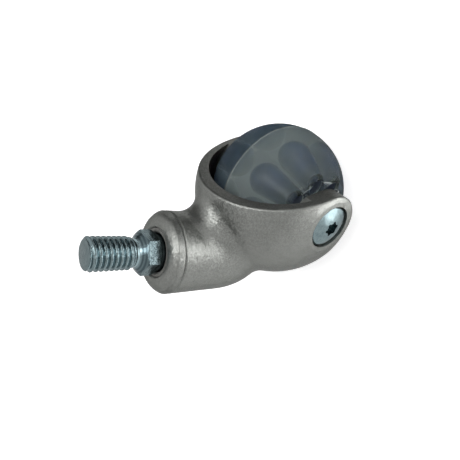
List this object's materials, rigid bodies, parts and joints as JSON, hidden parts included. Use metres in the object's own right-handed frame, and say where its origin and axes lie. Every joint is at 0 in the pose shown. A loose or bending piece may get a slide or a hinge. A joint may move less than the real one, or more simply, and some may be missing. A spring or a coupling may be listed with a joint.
{
  "type": "swivel castor",
  "caption": "Small swivel castor with a threaded stem, a hooded die-cast fork and a translucent ball wheel.",
  "frame": {"origin": "On the stem axis, where the full thread begins above its relief", "axes": "+Z along the stem towards the thread's end, +X towards the trailing wheel, +Y along the axle away from the screw"},
  "size_m": [0.0595, 0.0522, 0.0832],
  "materials": {
    "zinc_plate": "bright blue zinc plating",
    "silver_paint": "satin silver metallic paint",
    "smoky_polyurethane": "translucent smoky polyurethane",
    "black_rubber": "matt black rubber",
    "bearing_steel": "ground bearing steel",
    "spring_steel": "dark phosphated spring steel",
    "bush_plastic": "natural acetal"
  },
  "bodies": {
    "stem": {"threaded_stem": "zinc_plate", "stem_circlip": "spring_steel", "bearing_inner_ring": "bearing_steel"},
    "fork": {"fork_housing": "silver_paint", "nose_cap": "silver_paint", "dust_seal": "black_rubber", "bearing_outer_ring": "bearing_steel", "upper_bearing_shield": "bearing_steel", "lower_bearing_shield": "bearing_steel", "lower_bush": "bush_plastic", "axle_screw": "zinc_plate", "axle_sleeve": "zinc_plate", "near_thrust_washer": "bush_plastic", "far_thrust_washer": "bush_plastic"},
    "cage": {"bearing_balls": "bearing_steel", "bearing_cage": "bush_plastic"},
    "wheel": {"ball_wheel": "smoky_polyurethane", "near_hub_bush": "bush_plastic", "far_hub_bush": "bush_plastic"}
  },
  "joints": [
    {"name": "swivel", "type": "hinge", "parent": "stem", "child": "fork", "pos_m": [0, 0, -0.017], "axis": [0, 0, 1], "continuous": true},
    {"name": "cage_roll", "type": "hinge", "parent": "stem", "child": "cage", "pos_m": [0, 0, -0.017], "axis": [0, 0, 1], "continuous": true},
    {"name": "wheel_spin", "type": "hinge", "parent": "fork", "child": "wheel", "pos_m": [0.0246, 0, -0.04817], "axis": [0, 1, 0], "continuous": true}
  ],
  "couplings": [
    {"joint": "cage_roll", "follows": "swivel", "ratio": 0.583}
  ]
}
